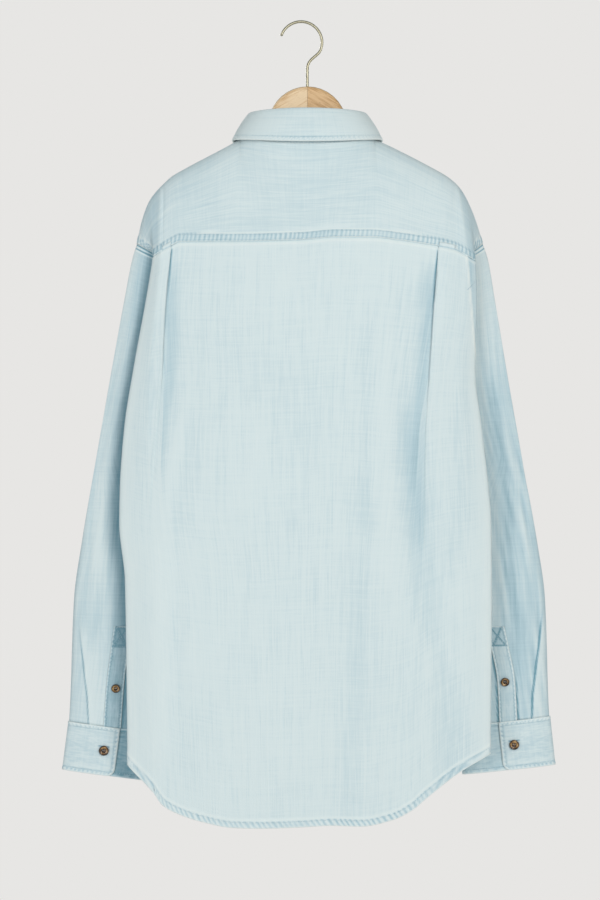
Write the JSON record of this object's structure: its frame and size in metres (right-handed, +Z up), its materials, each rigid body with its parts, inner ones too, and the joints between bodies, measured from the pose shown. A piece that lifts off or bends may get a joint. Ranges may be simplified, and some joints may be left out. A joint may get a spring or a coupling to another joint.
{
  "type": "denim shirt on a wooden hanger",
  "caption": "Long-sleeved washed denim shirt, buttoned up, with yoke, collar, cuffs and curved hem, hung on a wooden hanger by its wire hook.",
  "frame": {"origin": "the underside of the top of the hanger's hook, in the middle of its wire's width, where it rests on what carries it", "axes": "+Z up, -Y the way the shirt's front faces, +X towards its wearer's left"},
  "size_m": [0.5663, 0.1078, 0.9109],
  "materials": {
    "denim": "washed, pale blue, matt",
    "buttons": "brown tortoiseshell, polished",
    "pale_wood": "clear satin lacquer",
    "warm_wood": "clear satin lacquer",
    "hook_wire": "nickel plated, polished"
  },
  "bodies": {
    "root": {"back": "denim", "yoke": "denim", "front_left": "denim", "front_right": "denim", "sleeve_left": "denim", "sleeve_right": "denim", "cuff_left": "denim", "cuff_right": "denim", "sleeve_placket_left": "denim", "sleeve_placket_right": "denim", "collar": "denim", "collar_stand": "denim", "button_stand": "buttons", "button_front_1": "buttons", "button_front_2": "buttons", "button_front_3": "buttons", "button_front_4": "buttons", "button_front_5": "buttons", "button_front_6": "buttons", "button_cuff_left": "buttons", "button_cuff_right": "buttons", "button_placket_left": "buttons", "button_placket_right": "buttons", "hanger_left": "pale_wood", "hanger_right": "warm_wood", "hook": "hook_wire"}
  },
  "joints": []
}
